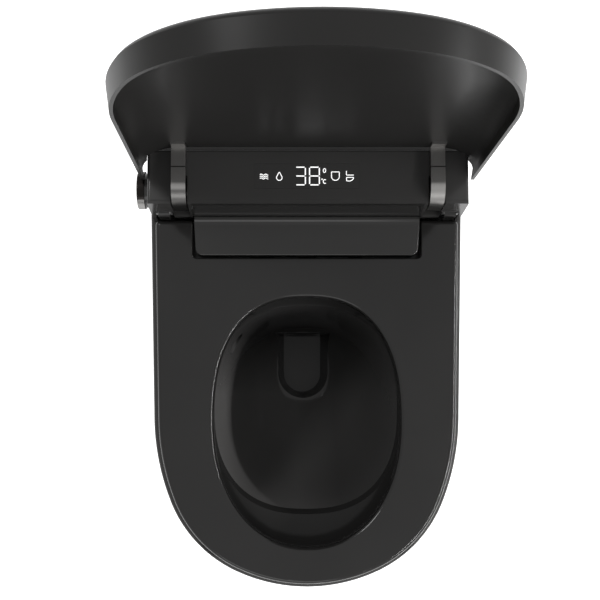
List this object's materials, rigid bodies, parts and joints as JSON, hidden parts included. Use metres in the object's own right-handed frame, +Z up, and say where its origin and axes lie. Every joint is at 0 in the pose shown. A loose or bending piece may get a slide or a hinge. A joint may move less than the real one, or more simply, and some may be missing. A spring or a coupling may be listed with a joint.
{
  "type": "smart toilet with heated seat",
  "caption": "One-piece black floor-standing toilet with a rounded D bowl, heated seat, raised lid on hooked arms, control console, washing wand, warm air dryer and side knob.",
  "frame": {"origin": "centre of the waste outlet at floor level", "axes": "+Z up, -Y towards the bowl's front, +X to the right as the user faces the toilet"},
  "size_m": [0.4096, 0.6941, 0.9248],
  "materials": {
    "glaze": "glossy black",
    "black_shell": "glossy black",
    "hood_black": "glossy black",
    "window": "glossy black acrylic",
    "dark_chrome": "dark chrome",
    "chrome": "polished",
    "steel": "brushed",
    "brass": "machined",
    "rubber": "matte",
    "hose_rubber": "matte",
    "inner_plastic": "matte light grey",
    "inner_dark": "matte dark grey",
    "board": "circuit board",
    "foil": "foil",
    "filter": "charcoal filter frame"
  },
  "bodies": {
    "toilet": {"blower_case": "inner_dark", "blower_motor": "steel", "board_posts": "inner_plastic", "bowl": "glaze", "console": "black_shell", "deodoriser_case": "inner_dark", "display_board": "board", "display_frame": "inner_dark", "display_window": "window", "diverter": "inner_plastic", "fill_valve": "inner_plastic", "fixing_bolts": "steel", "floor_brackets": "steel", "hood": "hood_black", "inlet_union": "inner_plastic", "inlet_valve": "brass", "jet_hose": "hose_rubber", "knob_board": "board", "lid_dampers": "inner_dark", "main_board": "board", "nozzle_guide": "inner_dark", "outlet_sleeve": "rubber", "pan": "glaze", "power_gland": "inner_dark", "power_supply": "inner_dark", "pump_body": "inner_dark", "pump_motor": "steel", "rear_cover": "black_shell", "seat_base": "inner_dark", "side_caps": "black_shell", "side_screws": "steel", "supply_hose": "hose_rubber", "tank": "inner_plastic", "tank_lid": "inner_plastic", "trap": "glaze", "wand_motor": "steel", "warm_duct": "inner_dark", "water_heater": "steel", "water_inlet": "chrome"},
    "seat": {"seat_top": "black_shell", "seat_heater": "foil", "seat_bottom": "black_shell", "seat_bumpers": "rubber", "seat_arms": "inner_dark", "seat_shafts": "steel"},
    "lid": {"lid_shell": "black_shell", "lid_arm_left": "dark_chrome", "lid_arm_right": "dark_chrome", "lid_shafts": "steel"},
    "knob_push": {"knob_stem": "steel", "knob_collar": "black_shell"},
    "knob": {"knob": "dark_chrome"},
    "wand": {"wand": "steel", "wand_tip": "inner_plastic"},
    "air_flap": {"air_flap": "inner_dark"},
    "blower_wheel": {"blower_wheel": "inner_plastic"},
    "deodoriser_fan": {"deodoriser_fan": "inner_plastic"},
    "filter_drawer": {"filter_drawer": "filter"},
    "float_cup": {"float_cup": "inner_dark"}
  },
  "joints": [
    {"name": "seat_hinge", "type": "hinge", "parent": "toilet", "child": "seat", "pos_m": [0, 0.0745, 0.42], "axis": [-1, 0, 0], "range_deg": [0, 92]},
    {"name": "lid_hinge", "type": "hinge", "parent": "toilet", "child": "lid", "pos_m": [0, 0.0946, 0.4353], "axis": [-1, 0, 0], "range_deg": [-98, 0]},
    {"name": "knob_press", "type": "slide", "parent": "toilet", "child": "knob_push", "axis": [1, 0, 0], "range_m": [0, 0.0015], "stiffness_N_per_m": 900, "springref_m": -0.0015},
    {"name": "knob_turn", "type": "hinge", "parent": "knob_push", "child": "knob", "pos_m": [-0.2, 0.0995, 0.424], "axis": [-1, 0, 0], "range_deg": [-30, 30], "stiffness_Nm_per_rad": 0.05},
    {"name": "wand_slide", "type": "slide", "parent": "toilet", "child": "wand", "axis": [0, -0.9272, -0.3746], "range_m": [0, 0.075]},
    {"name": "flap_hinge", "type": "hinge", "parent": "toilet", "child": "air_flap", "pos_m": [0.032, -0.0131, 0.3776], "axis": [-1, 0, 0], "range_deg": [0, 70], "stiffness_Nm_per_rad": 0.002},
    {"name": "blower_spin", "type": "hinge", "parent": "toilet", "child": "blower_wheel", "pos_m": [0.032, 0.114, 0.414], "axis": [1, 0, 0], "continuous": true},
    {"name": "deodoriser_spin", "type": "hinge", "parent": "toilet", "child": "deodoriser_fan", "pos_m": [0.08, 0.101, 0.408], "axis": [1, 0, 0], "continuous": true},
    {"name": "filter_slide", "type": "slide", "parent": "toilet", "child": "filter_drawer", "axis": [1, 0, 0], "range_m": [0, 0.09]},
    {"name": "float_slide", "type": "slide", "parent": "toilet", "child": "float_cup", "axis": [0, 0, 1], "range_m": [0, 0.085]}
  ]
}
